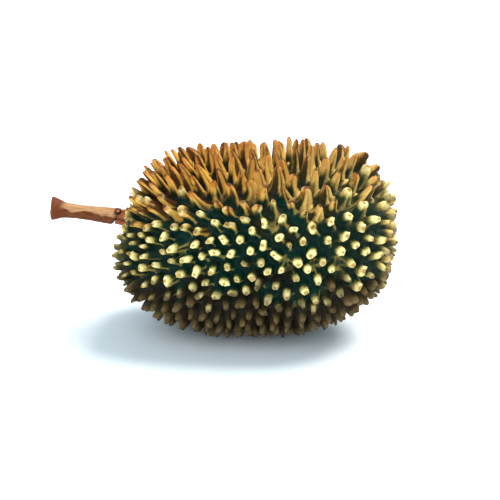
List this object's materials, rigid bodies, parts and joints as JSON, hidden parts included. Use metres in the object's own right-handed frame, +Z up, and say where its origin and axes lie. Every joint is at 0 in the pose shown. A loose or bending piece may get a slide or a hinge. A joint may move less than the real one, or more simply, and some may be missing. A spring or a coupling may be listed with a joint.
{
  "type": "whole durian",
  "caption": "Whole durian lying on its side: an oval fruit covered in stout blunt spines, with its short thick stalk and the flared cut end of the stalk.",
  "frame": {"origin": "on the surface the fruit lies on, under the middle of its bounding box", "axes": "+X along the fruit from the stalk to the blossom end, +Y across it, +Z up"},
  "size_m": [0.3496, 0.1958, 0.1975],
  "materials": {
    "husk": "satin",
    "stalk_neck": "matte",
    "stalk_bark": "matte"
  },
  "bodies": {
    "root": {"fruit": "husk", "stalk_neck": "stalk_neck", "stalk": "stalk_bark"}
  },
  "joints": []
}
